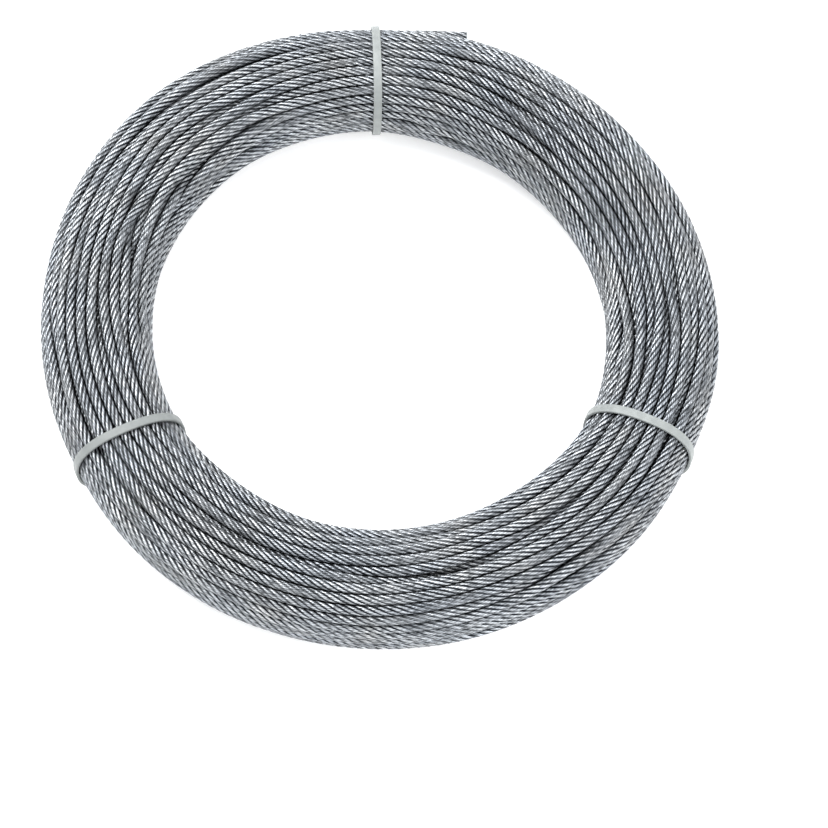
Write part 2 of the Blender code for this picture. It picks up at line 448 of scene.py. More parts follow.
def push_apart(places, waiting, same):
    """Turns that overlap where they cross a plane push each other apart."""
    rows = len(places)
    spots = places + waiting
    across = spots[:, None, :, 0] - spots[None, :, :, 0]
    up = spots[:, None, :, 1] - spots[None, :, :, 1]
    squared = across * across + up * up
    one, other, plane = np.nonzero((squared < ROPE_DIAMETER**2) & ~same)
    distance = np.sqrt(squared[one, other, plane]) + np.float32(NO_DISTANCE)
    push = (ROPE_DIAMETER - distance) / distance * PUSH_SHARE
    cell = one * PLANES + plane
    for axis, gap in enumerate((across, up)):
        moved = np.bincount(cell, push * gap[one, other, plane], rows * PLANES)
        places[..., axis] += moved.reshape(rows, PLANES).astype(np.float32)


def wind_rope():
    """Places in the section of the rope at every plane, from its outer end inwards.

    Row t, column p is where turn t crosses plane p. The planes stand 3 degrees apart from the far tie
    on, anticlockwise, and the loose end lies in the last planes of row 0, from column first on.
    """
    rows = math.ceil(ROPE_TURNS) + 1
    first = PLANES - math.floor(FREE_END_LENGTH / COIL_MEAN_RADIUS / PLANE_ANGLE)
    places = starting_places(rows)

    azimuths = FAR_TIE + np.arange(PLANES) * PLANE_ANGLE
    hold, squeeze = tie_hold(azimuths)
    slack = SLACK_BETWEEN_TIES * (1 - hold) - squeeze
    half_width = SECTION_WIDTH / 2 - ROPE_RADIUS + slack + widening(azimuths)
    half_height = SECTION_HEIGHT / 2 - ROPE_RADIUS + slack

    held, held_places = held_end(rows, first)
    places[held] = held_places[held]

    # Crossings before the rope's end are moved away, each to a place of its own
    active = np.ones((rows, PLANES), bool)
    active[0, :first] = False
    same = np.eye(rows, dtype=bool)[:, :, None]
    waiting = np.where(active, 0.0, 1.0)[..., None] * (1 + np.arange(rows))[:, None, None]
    places = places.astype(np.float32)
    waiting = waiting.astype(np.float32)
    for _ in range(WINDING_STEPS):
        chain = places.reshape(-1, 2)[first:]
        second = chain[2:] - 2 * chain[1:-1] + chain[:-2]
        fourth = second[2:] - 2 * second[1:-1] + second[:-2]
        chain[2:-2] -= np.float32(BEND_STIFFNESS) * fourth
        chain[1:-1] += np.float32(STRAIGHTENING) * second
        places[held] = held_places[held]
        for _ in range(PUSH_ROUNDS):
            push_apart(places, waiting, same)
            places[held] = held_places[held]
        outside = (np.abs(places[..., 0]) / half_width) ** SECTION_SQUARENESS
        outside += (np.abs(places[..., 1]) / half_height) ** SECTION_SQUARENESS
        shrink = np.where(outside > 1, np.maximum(outside, 1) ** (-1 / SECTION_SQUARENESS), 1)
        places *= (1 - (1 - shrink) * RETURN_SHARE)[..., None].astype(np.float32)
        places[held] = held_places[held]
    return places, first


def exposed_places(places, first):
    """True where a turn shows from outside: some straight way out of the section misses every turn."""
    shown = np.zeros(places.shape[:2], bool)
    block = (BLOCKING_SHARE * ROPE_RADIUS) ** 2
    for plane in range(PLANES):
        spots = places[:, plane].astype(float)
        if plane < first:
            spots[0] = FAR_AWAY
        gap = spots[None, :, :] - spots[:, None, :]
        for angle in np.arange(VIEW_DIRECTIONS) * math.tau / VIEW_DIRECTIONS:
            ahead = gap[..., 0] * math.cos(angle) + gap[..., 1] * math.sin(angle)
            aside = (gap**2).sum(-1) - ahead**2
            blocked = (ahead > ROPE_RADIUS) & (aside < block)
            shown[:, plane] |= ~blocked.any(axis=1)
    return shown


def rope_points(places, first, per_plane):
    """Centre points along the rope in space, from its outer end inwards, per_plane to each plane."""
    rows = places.shape[0]
    seat_radius = COIL_MEAN_RADIUS + free_end_seat()[0]
    start = PLANES - FREE_END_LENGTH / seat_radius / PLANE_ANGLE
    end = start + ROPE_TURNS * PLANES
    chain = places.reshape(-1, 2)[first - 1:].astype(float)
    chain[0] = 2 * chain[1] - chain[2]
    count = int((end - start) * per_plane)
    place = np.linspace(start, min(end, rows * PLANES - 2), count)
    low = np.clip(np.floor(place).astype(int), first, rows * PLANES - 3)
    share = (place - low)[:, None]
    before, here, after, later = (chain[low + offset - first + 1] for offset in (-1, 0, 1, 2))
    section = 0.5 * (
        2 * here
        + (after - before) * share
        + (2 * before - 5 * here + 4 * after - later) * share**2
        + (3 * here - before - 3 * after + later) * share**3
    )
    azimuth = FAR_TIE + (place - PLANES) * PLANE_ANGLE
    radius = COIL_MEAN_RADIUS + out_of_round(azimuth) + section[:, 0]
    height = COIL_CENTRE_HEIGHT - tie_hold(azimuth)[1] + section[:, 1]
    points = np.stack([radius * np.cos(azimuth), radius * np.sin(azimuth), height], 1)
    return points, place


def resample(points, place, spacing):
    """The same route at an even spacing along its length."""
    lengths = running_length(points)
    wanted = np.linspace(0, lengths[-1], int(lengths[-1] / spacing) + 1)
    even = np.stack([np.interp(wanted, lengths, points[:, axis]) for axis in range(3)], 1)
    return even, np.interp(wanted, lengths, place), wanted


def tube_frames(points):
    """Two directions across the rope at each point: one near upwards, one sideways."""
    along = np.gradient(points, axis=0)
    along /= np.linalg.norm(along, axis=1)[:, None]
    upward = np.array([0, 0, 1.0]) - along * along[:, 2:3]
    upward /= np.linalg.norm(upward, axis=1)[:, None]
    sideways = np.cross(along, upward)
    return upward, sideways


def bake_strips(rings, sides):
    """Where each ring's strip starts on a square map, tubes laid out in equal rows, and a face's size."""
    rows = max(1, round(math.sqrt(rings * STRAND_STEP / (math.tau * ROPE_RADIUS))))
    in_row = math.ceil(rings / rows)
    ring_number = np.arange(rings)
    row = ring_number // in_row
    across = (ring_number - row * in_row) / in_row
    return across, row / rows, 1 / in_row, 1 / rows / sides


def corner_places(corners):
    """Map places of every quad's four corners, one after another, from four pairs of arrays."""
    return np.stack([np.stack(corner, -1) for corner in corners], 2).reshape(-1, 2)


def mesh_from_arrays(name, vertices, loops, sizes):
    """A mesh from its vertices, the vertex at each corner of the faces, and the faces' corner counts."""
    mesh = bpy.data.meshes.new(name)
    mesh.vertices.add(len(vertices))
    mesh.vertices.foreach_set("co", vertices.astype(np.float32).reshape(-1))
    mesh.loops.add(len(loops))
    mesh.loops.foreach_set("vertex_index", loops.astype(np.int32))
    mesh.polygons.add(len(sizes))
    mesh.polygons.foreach_set("loop_start", (np.cumsum(sizes) - sizes).astype(np.int32))
    mesh.polygons.foreach_set("loop_total", sizes.astype(np.int32))
    return mesh


def add_uv_map(mesh, name, uvs):
    """A UV map with a place for each corner of the faces."""
    layer = mesh.uv_layers.new(name=name)
    layer.data.foreach_set("uv", uvs.astype(np.float32).reshape(-1))


def new_object(name, data):
    """An object with this data, in the scene."""
    piece = bpy.data.objects.new(name, data)
    bpy.context.scene.collection.objects.link(piece)
    return piece


def tube_mesh(name, points, lengths, radii, turns, bounds, crevice=None):
    """One mesh of closed tubes. bounds lists each tube's first and last ring; radii has a column a side.

    turns is how far the strands have turned round the rope at each ring. With strands modelled, the
    rings turn with them. The UV map lay holds the length along the rope and the share of the way round
    in the strands' own turning frame, and OFBake lays the tubes out in strips.
    """
    sides = radii.shape[1]
    modelled = sides > CORE_SIDES
    upward, sideways = tube_frames(points)
    angles = turns[:, None] * modelled + np.arange(sides)[None, :] * math.tau / sides
    rings = points[:, None, :] + radii[..., None] * (
        np.cos(angles)[..., None] * upward[:, None, :] + np.sin(angles)[..., None] * sideways[:, None, :]
    )
    vertices, quads, caps = [], [], []
    lay_uvs, strip_uvs, cap_uvs = [], [], []
    base = 0
    used = 0
    side = np.arange(sides)
    total = sum(stop - start for start, stop in bounds)
    strip_across, strip_up, strip_step, strip_side = bake_strips(total, sides)
    for start, stop in bounds:
        count = stop - start
        vertices.append(rings[start:stop + 1].reshape(-1, 3))
        ring = np.arange(count)[:, None] * sides
        nearer = ring + side[None, :]
        nearer_next = ring + (side + 1)[None, :] % sides
        quad = np.stack([nearer, nearer_next, nearer_next + sides, nearer + sides], -1) + base
        quads.append(quad.reshape(-1, 4))
        share = side[None, :] / sides - turns[start:stop + 1, None] / math.tau * (not modelled)
        length = np.broadcast_to(lengths[start:stop + 1, None], share.shape)
        corners = [
            (length[:-1], share[:-1]),
            (length[:-1], share[:-1] + 1 / sides),
            (length[1:], share[1:] + 1 / sides),
            (length[1:], share[1:]),
        ]
        lay_uvs.append(corner_places(corners))
        left = strip_across[used:used + count, None] + np.zeros(sides)[None, :]
        low = strip_up[used:used + count, None] + side[None, :] * strip_side * STRIP_FILL
        right = left + strip_step * STRIP_LENGTH_FILL
        high = low + strip_side * STRIP_FILL
        strip_uvs.append(corner_places([(left, low), (left, high), (right, high), (right, low)]))
        caps.append(list(base + side[::-1]))
        caps.append(list(base + count * sides + side))
        for ring_number in (start, stop):
            cap_uvs += [(lengths[ring_number], 0.0)] * sides
        base += (count + 1) * sides
        used += count
    vertices = np.concatenate(vertices)
    quads = np.concatenate(quads)
    loops = np.concatenate([quads.reshape(-1), np.array(caps).reshape(-1)])
    sizes = np.concatenate([np.full(len(quads), 4), np.full(len(caps), sides)])
    mesh = mesh_from_arrays(name, vertices, loops, sizes)
    add_uv_map(mesh, "lay", np.concatenate(lay_uvs + [np.array(cap_uvs)]))
    add_uv_map(mesh, "OFBake", np.concatenate(strip_uvs + [np.zeros((len(cap_uvs), 2))]))
    if crevice is not None:
        depths = np.concatenate([crevice[start:stop + 1].reshape(-1) for start, stop in bounds])
        attribute = mesh.attributes.new("crevice", "FLOAT", "POINT")
        attribute.data.foreach_set("value", depths.astype(np.float32))
    mesh.update(calc_edges=True)
    mesh.validate()
    mesh.shade_smooth()
    return new_object(name, mesh)


def crevice_depths(places, first, points, place, radii, turns):
    """Distance from each point of the fine tube's skin to the nearest other turn's skin, in metres."""
    rows = places.shape[0]
    chain = places.reshape(-1, 2).astype(float).copy()
    chain[:first] = FAR_AWAY
    column = place % PLANES
    low = np.floor(column).astype(int)
    share = (column - low)[:, None, None]
    index = low[:, None] + PLANES * np.arange(rows - 1)[None, :]
    spots = chain[index] * (1 - share) + chain[index + 1] * share
    own = index == np.floor(place).astype(int)[:, None]
    spots[own] = FAR_AWAY
    azimuth = np.arctan2(points[:, 1], points[:, 0])
    across = np.hypot(points[:, 0], points[:, 1]) - (COIL_MEAN_RADIUS + out_of_round(azimuth))
    up = points[:, 2] - (COIL_CENTRE_HEIGHT - tie_hold(azimuth)[1])
    centre = np.stack([across, up], 1)
    apart = ((spots - centre[:, None]) ** 2).sum(-1)
    nearest = np.argpartition(apart, NEAR_TURNS, axis=1)[:, :NEAR_TURNS]
    spots = np.take_along_axis(spots, nearest[..., None], axis=1)
    sides = radii.shape[1]
    angles = turns[:, None] + np.arange(sides)[None, :] * math.tau / sides
    upward, sideways = tube_frames(points)
    outward = np.stack([np.cos(azimuth), np.sin(azimuth), np.zeros(len(azimuth))], 1)
    out_up = np.stack([(upward * outward).sum(1), upward[:, 2]], 1)
    out_side = np.stack([(sideways * outward).sum(1), sideways[:, 2]], 1)
    skin = centre[:, None] + radii[..., None] * (
        np.cos(angles)[..., None] * out_up[:, None] + np.sin(angles)[..., None] * out_side[:, None]
    )
    best = np.full(radii.shape, 1.0)
    for turn in range(NEAR_TURNS):
        gap = np.sqrt(((skin - spots[:, turn][:, None]) ** 2).sum(-1)) - ROPE_RADIUS
        best = np.minimum(best, gap)
    return best


def shown_runs(shown, place):
    """First and last ring of each stretch of rope that shows, a little longer than what shows."""
    chain = shown.reshape(-1).astype(int)
    padded = np.convolve(chain, np.ones(RUN_WINDOW), "same") > 0
    visible = padded[np.clip(np.round(place).astype(int), 0, len(padded) - 1)]
    edges = np.flatnonzero(np.diff(np.concatenate([[0], visible.astype(int), [0]])))
    runs = zip(edges[::2], edges[1::2])
    return [(start, stop - 1) for start, stop in runs if stop - start > SHORTEST_RUN]


def split_runs(runs, pieces):
    """The runs in groups of about equal length, long runs cut where one group ends."""
    limit = math.ceil(sum(stop - start for start, stop in runs) / pieces)
    groups = [[]]
    used = 0
    for start, stop in runs:
        while start < stop:
            last = min(stop, start + limit - used)
            groups[-1].append((start, last))
            used += last - start
            start = last
            if used >= limit:
                groups.append([])
                used = 0
    return [group for group in groups if group]


def build_rope():
    """The whole rope as one plain tube, and over it the turns that show, with their strands."""
    places, first = wind_rope()
    shown = exposed_places(places, first)
    points, place = rope_points(places, first, ROUTE_STEPS)
    fine, fine_place, fine_length = resample(points, place, STRAND_STEP)
    runs = shown_runs(shown, fine_place)
    turns = fine_length * math.tau / LAY_LENGTH
    lobes = np.tile(np.array(LOBE_PROFILE) * ROPE_RADIUS, STRANDS)
    radii = np.broadcast_to(lobes, (len(fine), len(lobes)))
    crevice = crevice_depths(places, first, fine, fine_place, radii, turns)
    strands = rope_material()
    pieces = []
    for number, group in enumerate(split_runs(runs, ROPE_PIECES), 1):
        name = f"rope_outer_turns_{number:02d}"
        piece = tube_mesh(name, fine, fine_length, radii, turns, group, crevice)
        piece.data.materials.append(strands)
        pieces.append(piece)

    core, core_place = rope_points(places, first, 1)
    core_lengths = running_length(core)
    covered = np.zeros(len(fine))
    for start, stop in runs:
        covered[start:stop + 1] = 1
    under = np.interp(core_place, fine_place, covered) > 0
    core_radius = np.where(under, CORE_SHARE, 1.0) * ROPE_RADIUS
    core_radii = np.repeat(core_radius[:, None], CORE_SIDES, 1)
    core_turns = core_lengths * math.tau / LAY_LENGTH
    whole = tube_mesh("rope", core, core_lengths, core_radii, core_turns, [(0, len(core) - 1)])
    # The plain tube takes the near-black painted shade of the rope deep inside the coil
    whole.data.materials.append(cloudy_material(CORE)[0])
    face = build_end_face(fine[0], fine[1])
    for piece in [whole, face] + pieces:
        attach(piece, "root")
    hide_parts("rope_coil")


def add_prism(shape, outline, depth, place):
    """A closed prism: outline is its lower face's points, and depth how far it reaches along Z."""
    lower = [shape.verts.new(place @ Vector((x, y, 0))) for x, y in outline]
    upper = [shape.verts.new(place @ Vector((x, y, depth))) for x, y in outline]
    shape.faces.new(lower[::-1])
    shape.faces.new(upper)
    for index in range(len(outline)):
        after = (index + 1) % len(outline)
        shape.faces.new((lower[index], lower[after], upper[after], upper[index]))


def join_loops(shape, loops):
    """Faces between each loop of corners and the next one, and from the last loop to the first."""
    faces = []
    for index, loop in enumerate(loops):
        following = loops[(index + 1) % len(loops)]
        for step in range(len(loop)):
            after = (step + 1) % len(loop)
            faces.append(shape.faces.new((loop[step], loop[after], following[after], following[step])))
    return faces


def circle_points(radius, count, centre=(0, 0)):
    """Evenly spaced points round a circle."""
    angles = [math.tau * index / count for index in range(count)]
    return [(centre[0] + radius * math.cos(a), centre[1] + radius * math.sin(a)) for a in angles]


def build_end_face(tip, inside):
    """The sawn end: the cut wires of seven strands, and the ring of clear coat round them."""
    shape = bmesh.new()
    outward = Vector(tip - inside).normalized()
    turn = outward.to_track_quat("Z", "Y").to_matrix().to_4x4()
    place = Matrix.Translation(Vector(tip) - outward * (END_FACE_DEPTH - WIRE_STAND)) @ turn
    strand_radius = WIRE_ROPE_RADIUS / 3
    wire_radius = strand_radius / 3
    for strand_x, strand_y in [(0, 0)] + circle_points(strand_radius * 2, STRANDS):
        for wire_x, wire_y in [(0, 0)] + circle_points(wire_radius * 2, WIRES - 1, WIRE_RING_CENTRE):
            centre = (strand_x + wire_x, strand_y + wire_y)
            outline = circle_points(wire_radius * WIRE_FILL, WIRE_SIDES, centre)
            add_prism(shape, outline, END_FACE_DEPTH, place)
    bore = WIRE_ROPE_RADIUS * COAT_BORE_SHARE
    coat_height = END_FACE_DEPTH - WIRE_STAND / 2
    profile = (
        (bore, 0),
        (bore, coat_height),
        (ROPE_RADIUS - WIRE_STAND, coat_height),
        (ROPE_RADIUS, coat_height - WIRE_STAND),
        (ROPE_RADIUS, 0),
    )
    loops = []
    for radius, height in profile:
        ring = circle_points(radius, COAT_STEPS)
        loops.append([shape.verts.new(place @ Vector((x, y, height))) for x, y in ring])
    for face in join_loops(shape, loops):
        face.material_index = 1
    bmesh.ops.recalc_face_normals(shape, faces=shape.faces)
    mesh = bpy.data.meshes.new("rope_cut_end")
    shape.to_mesh(mesh)
    shape.free()
    for surface in (CUT_WIRE, COAT_EDGE):
        mesh.materials.append(cloudy_material(surface)[0])
    return new_object("rope_cut_end", mesh)


def section_point(angle, grow, half_size):
    """A point of the coil's rounded section at a tie, seen along the rope, grown outwards by grow."""
    power = 2 / SECTION_SQUARENESS
    cosine = math.cos(angle)
    sine = math.sin(angle)
    across = math.copysign((half_size[0] + grow) * abs(cosine) ** power, cosine)
    up = math.copysign((half_size[1] + grow) * abs(sine) ** power, sine)
    return Vector((across, up))


def tie_place(tie):
    """From the tie's drawing plane (X outwards, Y up) to its place round the coil."""
    outwards = Vector((math.cos(tie.azimuth), math.sin(tie.azimuth), 0))
    radius = COIL_MEAN_RADIUS + float(out_of_round(tie.azimuth))
    centre = outwards * radius + Vector((0, 0, COIL_CENTRE_HEIGHT - tie.squeeze))
    turn = Matrix.Rotation(tie.azimuth + tie.skew, 4, "Z") @ Matrix.Rotation(math.pi / 2, 4, "X")
    return Matrix.Translation(centre) @ turn


def strap_line(grow, half_size):
    """Evenly spaced points round the section at a distance grow, flat at the foot, with normals."""
    angles = np.arange(TIE_LINE_POINTS) * math.tau / TIE_LINE_POINTS
    dense = np.array([section_point(angle, grow, half_size)[:] for angle in angles])
    foot = TIE_FOOT_LENGTH / 2
    bottom = -(half_size[1] + grow)
    blend = np.clip((np.abs(dense[:, 0]) - foot) / foot, 0, 1)
    blend = blend * blend * (3 - 2 * blend)
    low = dense[:, 1] < 0
    dense[low, 1] = (bottom * (1 - blend) + dense[:, 1] * blend)[low]
    closed = np.vstack([dense, dense[:1]])
    lengths = running_length(closed)
    wanted = np.arange(TIE_STEPS) * lengths[-1] / TIE_STEPS
    line = np.stack([np.interp(wanted, lengths, closed[:, axis]) for axis in (0, 1)], 1)
    along = np.roll(line, -1, 0) - np.roll(line, 1, 0)
    along /= np.linalg.norm(along, axis=1)[:, None]
    return line, np.stack([along[:, 1], -along[:, 0]], 1)


def strap_section():
    """The strap's section: (out of the middle of the strap, across it), rounded at its edges."""
    points = []
    for quarter, (out, across) in enumerate(((1, 1), (-1, 1), (-1, -1), (1, -1))):
        centre_out = out * (TIE_THICKNESS / 2 - TIE_EDGE_RADIUS)
        centre_across = across * (TIE_WIDTH / 2 - TIE_EDGE_RADIUS)
        for step in range(TIE_EDGE_STEPS + 1):
            angle = math.pi / 2 * (quarter + step / TIE_EDGE_STEPS)
            points.append((
                centre_out + TIE_EDGE_RADIUS * math.cos(angle),
                centre_across + TIE_EDGE_RADIUS * math.sin(angle),
            ))
    return points


def add_strap(shape, tie, place, half_size):
    """The tie's strap, a closed band round the coil's section that leans sideways with its height."""
    line, normals = strap_line(TIE_GAP + TIE_THICKNESS / 2, half_size)
    rings = []
    for (across, up), (normal_across, normal_up) in zip(line, normals):
        ring = []
        for out, side in strap_section():
            height = up + normal_up * out
            spot = Vector((across + normal_across * out, height, side + tie.lean * height))
            ring.append(shape.verts.new(place @ spot))
        rings.append(ring)
    join_loops(shape, rings)


def head_seat(tie, place, half_size):
    """From the head's own frame (X along the strap, Y outwards) to its place on the strap."""
    ahead = section_point(tie.head_angle + HEAD_SEAT_ANGLE, TIE_GAP, half_size)
    behind = section_point(tie.head_angle - HEAD_SEAT_ANGLE, TIE_GAP, half_size)
    along = (ahead - behind).normalized()
    outward = Vector((along.y, -along.x))
    turn = math.atan2(outward.y, outward.x) - math.pi / 2
    middle = section_point(tie.head_angle, TIE_GAP, half_size) + outward * (HEAD_HEIGHT / 2 + TIE_GAP)
    middle = Vector((middle.x, middle.y, tie.lean * middle.y))
    return place @ Matrix.Translation(middle) @ Matrix.Rotation(turn, 4, "Z")


def add_head(shape, place):
    """The tie's head: a rounded block with a slot in its top."""
    head = bmesh.new()
    bmesh.ops.create_cube(head, size=1)
    bmesh.ops.scale(head, vec=(HEAD_LENGTH, HEAD_HEIGHT, HEAD_WIDTH), verts=head.verts)
    edges = list(head.edges)
    bmesh.ops.bevel(
        head, geom=edges, offset=HEAD_BEVEL, segments=HEAD_BEVEL_STEPS, affect="EDGES", profile=0.5
    )
    top = max(head.faces, key=lambda face: face.calc_center_median().y)
    rim = [loop.vert for loop in top.loops]
    head.faces.remove(top)
    slot_rim, slot_floor = [], []
    for vertex in rim:
        x = -TAIL_STUB_OFFSET + math.copysign(SLOT_LENGTH / 2, vertex.co.x)
        z = math.copysign(SLOT_WIDTH / 2, vertex.co.z)
        slot_rim.append(head.verts.new((x, HEAD_HEIGHT / 2, z)))
        slot_floor.append(head.verts.new((x, HEAD_HEIGHT / 2 - SLOT_DEPTH, z)))
    for index in range(len(rim)):
        after = (index + 1) % len(rim)
        head.faces.new((rim[index], rim[after], slot_rim[after], slot_rim[index]))
        head.faces.new((slot_rim[index], slot_rim[after], slot_floor[after], slot_floor[index]))
    head.faces.new(slot_floor)
    bmesh.ops.recalc_face_normals(head, faces=head.faces)
    head.transform(place)
    mesh = bpy.data.meshes.new("head")
    head.to_mesh(mesh)
    head.free()
    shape.from_mesh(mesh)
    bpy.data.meshes.remove(mesh)


def add_tail(shape, place):
    """The strap's tail, cut off short above the head's slot, with its teeth."""
    front = TAIL_STUB_THICKNESS / 2
    back = -TAIL_STUB_THICKNESS / 2
    tip = SLOT_DEPTH + TAIL_STUB_HEIGHT
    outline = [(front, tip - TAIL_CUT_SLANT), (back + TAIL_TOOTH_DEPTH, tip)]
    for tooth in range(round(tip / TAIL_TOOTH_PITCH) - 1, 0, -1):
        outline.append((back, (tooth + TAIL_TOOTH_RISE) * TAIL_TOOTH_PITCH))
        outline.append((back + TAIL_TOOTH_DEPTH, tooth * TAIL_TOOTH_PITCH))
    outline.append((back + TAIL_TOOTH_DEPTH, -TAIL_TOOTH_PITCH))
    outline.append((front, -TAIL_TOOTH_PITCH))
    foot = Matrix.Translation((-TAIL_STUB_OFFSET, HEAD_HEIGHT / 2 - SLOT_DEPTH, -TAIL_STUB_WIDTH / 2))
    add_prism(shape, outline, TAIL_STUB_WIDTH, place @ foot)


def build_tie(tie, material):
    """One cable tie: the strap round the coil's section, its head, and the cut tail in the head's slot."""
    place = tie_place(tie)
    half_width = SECTION_WIDTH / 2 - tie.squeeze + float(widening(tie.azimuth))
    half_size = (half_width, SECTION_HEIGHT / 2 - tie.squeeze)
    head_place = head_seat(tie, place, half_size)
    shape = bmesh.new()
    add_strap(shape, tie, place, half_size)
    add_head(shape, head_place)
    add_tail(shape, head_place)
    bmesh.ops.recalc_face_normals(shape, faces=shape.faces)
    name = tie.node.replace("cable_", "nylon_")
    mesh = bpy.data.meshes.new(name)
    shape.to_mesh(mesh)
    shape.free()
    mesh.shade_smooth()
    mesh.set_sharp_from_angle(angle=TIE_SHARP_ANGLE)
    mesh.materials.append(material)
    piece = new_object(name, mesh)
    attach(piece, "root")
    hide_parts(tie.node)


def new_material(name, values):
    """A material with its node tree and shader, and the shader's even values on its own sockets."""
    material = bpy.data.materials.new(name)
    material.use_nodes = True
    tree = material.node_tree
    shader = tree.nodes["Principled BSDF"]
    for socket, value in values.items():
        shader.inputs[socket].default_value = value
    return material, tree, shader


def object_place(tree):
    """The place on the object, in metres."""
    return tree.nodes.new("ShaderNodeTexCoord").outputs["Object"]


def node_maths(tree, operation, first, second=None, third=None):
    """A number worked out from one to three numbers or sockets."""
    node = tree.nodes.new("ShaderNodeMath")
    node.operation = operation
    for slot, value in enumerate((first, second, third)):
        if value is None:
            continue
        if isinstance(value, (int, float)):
            node.inputs[slot].default_value = value
        else:
            tree.links.new(value, node.inputs[slot])
    return node.outputs[0]


def pair_node(tree, first, second):
    """A vector from two numbers."""
    node = tree.nodes.new("ShaderNodeCombineXYZ")
    tree.links.new(first, node.inputs["X"])
    tree.links.new(second, node.inputs["Y"])
    return node.outputs[0]


def ramp_node(tree, value, stops):
    """A colour for a number: stops are (place, colour)."""
    node = tree.nodes.new("ShaderNodeValToRGB")
    tree.links.new(value, node.inputs[0])
    ramp = node.color_ramp
    while len(ramp.elements) < len(stops):
        ramp.elements.new(0.5)
    for element, (place, colour) in zip(ramp.elements, stops):
        element.position = place
        element.color = (*colour, 1)
    return node.outputs["Color"]


def mix_colours(tree, share, first, second, blend="MIX"):
    """The second colour mixed into the first by a share, each of them a value or a socket."""
    node = tree.nodes.new("ShaderNodeMix")
    node.data_type = "RGBA"
    node.blend_type = blend
    for socket, value in ((MIX_SHARE, share), (MIX_FIRST, first), (MIX_SECOND, second)):
        if isinstance(value, (int, float)):
            node.inputs[socket].default_value = value
        elif isinstance(value, tuple):
            node.inputs[socket].default_value = (*value, 1)
        else:
            tree.links.new(value, node.inputs[socket])
    return node.outputs[MIX_RESULT]


def noise_node(tree, vector, scale, detail):
    """Soft noise in space."""
    node = tree.nodes.new("ShaderNodeTexNoise")
    node.inputs["Scale"].default_value = scale
    node.inputs["Detail"].default_value = detail
    tree.links.new(vector, node.inputs["Vector"])
    return node.outputs["Fac"]


def noise_along(tree, value, scale, detail):
    """Noise that only changes along the rope, so that it differs from turn to turn."""
    node = tree.nodes.new("ShaderNodeTexNoise")
    node.noise_dimensions = "1D"
    node.inputs["Scale"].default_value = scale
    node.inputs["Detail"].default_value = detail
    tree.links.new(value, node.inputs["W"])
    return node.outputs["Fac"]


def smooth_step(tree, value, low, high):
    """0 up to low, 1 from high on and a soft rise between them."""
    node = tree.nodes.new("ShaderNodeMapRange")
    node.interpolation_type = "SMOOTHSTEP"
    tree.links.new(value, node.inputs["Value"])
    node.inputs["From Min"].default_value = low
    node.inputs["From Max"].default_value = high
    return node.outputs["Result"]


def add_bump(tree, shader, height, strength, distance):
    """Relief on the shader's surface."""
    bump = tree.nodes.new("ShaderNodeBump")
    bump.inputs["Strength"].default_value = strength
    bump.inputs["Distance"].default_value = distance
    tree.links.new(height, bump.inputs["Height"])
    tree.links.new(bump.outputs["Normal"], shader.inputs["Normal"])


def lay_pattern(tree):
    """The length along the rope, the way round it, the strand's number, its crest and its wires' crests."""
    lay = tree.nodes.new("ShaderNodeUVMap")
    lay.uv_map = "lay"
    split = tree.nodes.new("ShaderNodeSeparateXYZ")
    tree.links.new(lay.outputs["UV"], split.inputs[0])
    along, turned = split.outputs["X"], split.outputs["Y"]
    around = node_maths(tree, "MULTIPLY", turned, STRANDS)
    strand = node_maths(tree, "FRACT", around)
    number = node_maths(tree, "FLOOR", around)
    crest = node_maths(tree, "SINE", node_maths(tree, "MULTIPLY", strand, math.pi))
    lean = node_maths(tree, "MULTIPLY", node_maths(tree, "SUBTRACT", strand, 0.5), WIRES_ACROSS)
    phase = node_maths(tree, "MULTIPLY_ADD", along, WIRES_PER_METRE, lean)
    phase = node_maths(tree, "FRACT", node_maths(tree, "MULTIPLY_ADD", number, WIRE_PHASE_STEP, phase))
    wire = node_maths(tree, "SINE", node_maths(tree, "MULTIPLY", phase, math.pi))
    return along, turned, number, crest, wire


